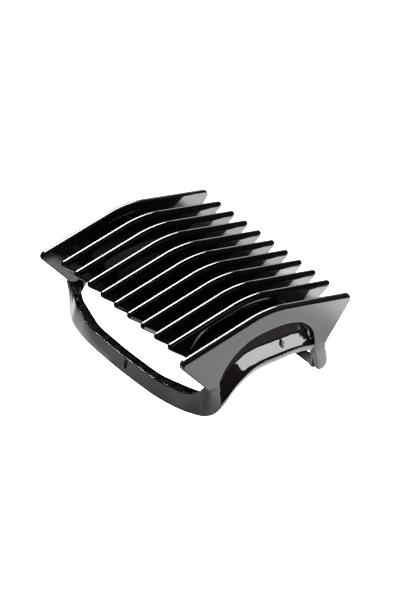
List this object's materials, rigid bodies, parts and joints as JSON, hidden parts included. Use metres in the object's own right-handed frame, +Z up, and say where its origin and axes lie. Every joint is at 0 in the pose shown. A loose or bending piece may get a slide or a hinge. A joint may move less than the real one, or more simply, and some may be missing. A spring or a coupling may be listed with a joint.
{
  "type": "clipper guard comb",
  "caption": "Clip-on guard comb for a hair clipper: parallel upright blades between two taller cheeks, bowed front strap, recessed side arches and a springy rear catch bar.",
  "frame": {"origin": "middle of the overall footprint, on the plane that the comb rests on", "axes": "+X across the blades, from the left cheek to the right cheek; +Y from the bowed front strap to the rear catch bar; +Z up, from the open side that takes the clipper head to the ridge of the blades"},
  "size_m": [0.0484, 0.0393, 0.0189],
  "materials": {
    "blade_plastic": "gloss",
    "cheek_plastic": "fine satin on the outer face, gloss elsewhere",
    "wall_plastic": "gloss",
    "strap_plastic": "semi-gloss",
    "catch_plastic": "semi-gloss"
  },
  "bodies": {
    "comb_frame": {"blade_1": "blade_plastic", "blade_2": "blade_plastic", "blade_3": "blade_plastic", "blade_4": "blade_plastic", "blade_5": "blade_plastic", "blade_6": "blade_plastic", "blade_7": "blade_plastic", "blade_8": "blade_plastic", "blade_9": "blade_plastic", "front_web": "blade_plastic", "rear_web": "blade_plastic", "cheek_left": "cheek_plastic", "cheek_right": "cheek_plastic", "side_wall_left": "wall_plastic", "side_wall_right": "wall_plastic", "size_mark_left": "wall_plastic", "size_mark_right": "wall_plastic", "strap_root_left": "strap_plastic", "strap_root_right": "strap_plastic", "strap_middle": "strap_plastic", "strap_corner_left": "strap_plastic", "strap_corner_right": "strap_plastic", "index_tick": "strap_plastic"},
    "rear_catch": {"catch_bar": "catch_plastic", "catch_post_left": "catch_plastic", "catch_post_right": "catch_plastic"}
  },
  "joints": [
    {"name": "rear_catch_flex", "type": "hinge", "parent": "comb_frame", "child": "rear_catch", "pos_m": [0, 0.0123, 0.00645], "axis": [1, 0, 0], "range_deg": [-1, 7], "stiffness_Nm_per_rad": 0.35}
  ]
}
